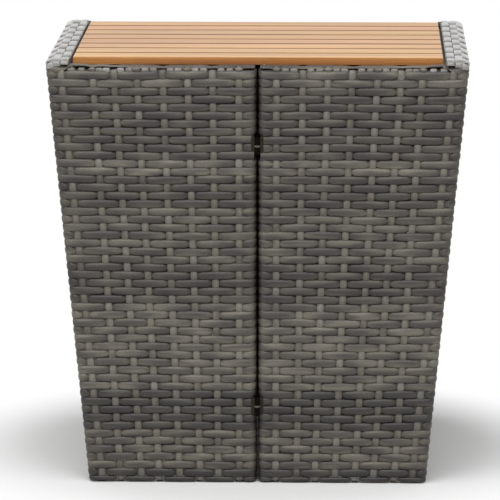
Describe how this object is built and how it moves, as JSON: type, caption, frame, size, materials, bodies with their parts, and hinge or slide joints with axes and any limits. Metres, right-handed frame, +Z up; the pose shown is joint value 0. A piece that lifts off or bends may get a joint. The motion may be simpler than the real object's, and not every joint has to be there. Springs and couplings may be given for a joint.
{
  "type": "rattan coffee table",
  "caption": "Woven coffee table with leaning sides, a hollow base in hinged halves and a slatted wooden top that lifts off.",
  "frame": {"origin": "on the floor, under the middle of the whole part", "axes": "+X to the right seen from the front, +Y to the back, +Z up"},
  "size_m": [0.5054, 0.4043, 0.515],
  "materials": {
    "weave": "space-dyed plastic strand, satin",
    "steel_tube": "powder coat",
    "wood": "oiled",
    "hinge": "black paint",
    "pin": "bare steel",
    "glide": "matt"
  },
  "bodies": {
    "left_base": {"left_front_post": "steel_tube", "left_front_stile": "steel_tube", "left_front_rails": "steel_tube", "left_front_weave": "weave", "left_front_wraps": "weave", "left_back_post": "steel_tube", "left_back_stile": "steel_tube", "left_back_rails": "steel_tube", "left_back_weave": "weave", "left_back_wraps": "weave", "left_side_rails": "steel_tube", "left_side_weave": "weave", "left_side_wrap": "weave", "left_rim": "weave", "left_ledge": "steel_tube", "left_glides": "glide", "hinge_left_leaves": "hinge", "hinge_pins": "pin", "hinge_washers": "pin"},
    "right_base": {"right_front_post": "steel_tube", "right_front_stile": "steel_tube", "right_front_rails": "steel_tube", "right_front_weave": "weave", "right_front_wraps": "weave", "right_back_post": "steel_tube", "right_back_stile": "steel_tube", "right_back_rails": "steel_tube", "right_back_weave": "weave", "right_back_wraps": "weave", "right_side_rails": "steel_tube", "right_side_weave": "weave", "right_side_wrap": "weave", "right_rim": "weave", "right_ledge": "steel_tube", "right_glides": "glide", "hinge_right_leaves": "hinge"},
    "tabletop": {"slat_1": "wood", "slat_2": "wood", "slat_3": "wood", "slat_4": "wood", "slat_5": "wood", "slat_6": "wood", "slat_7": "wood", "slat_8": "wood", "batten_left": "wood", "batten_right": "wood", "slat_screws": "pin"}
  },
  "joints": [
    {"name": "base_opens", "type": "hinge", "parent": "left_base", "child": "right_base", "pos_m": [0, -0.19885, 0.25], "axis": [0, 0, -1], "range_deg": [0, 170]},
    {"name": "top_lift", "type": "slide", "parent": "left_base", "child": "tabletop", "axis": [0, 0, 1], "range_m": [0, 0.25]}
  ]
}
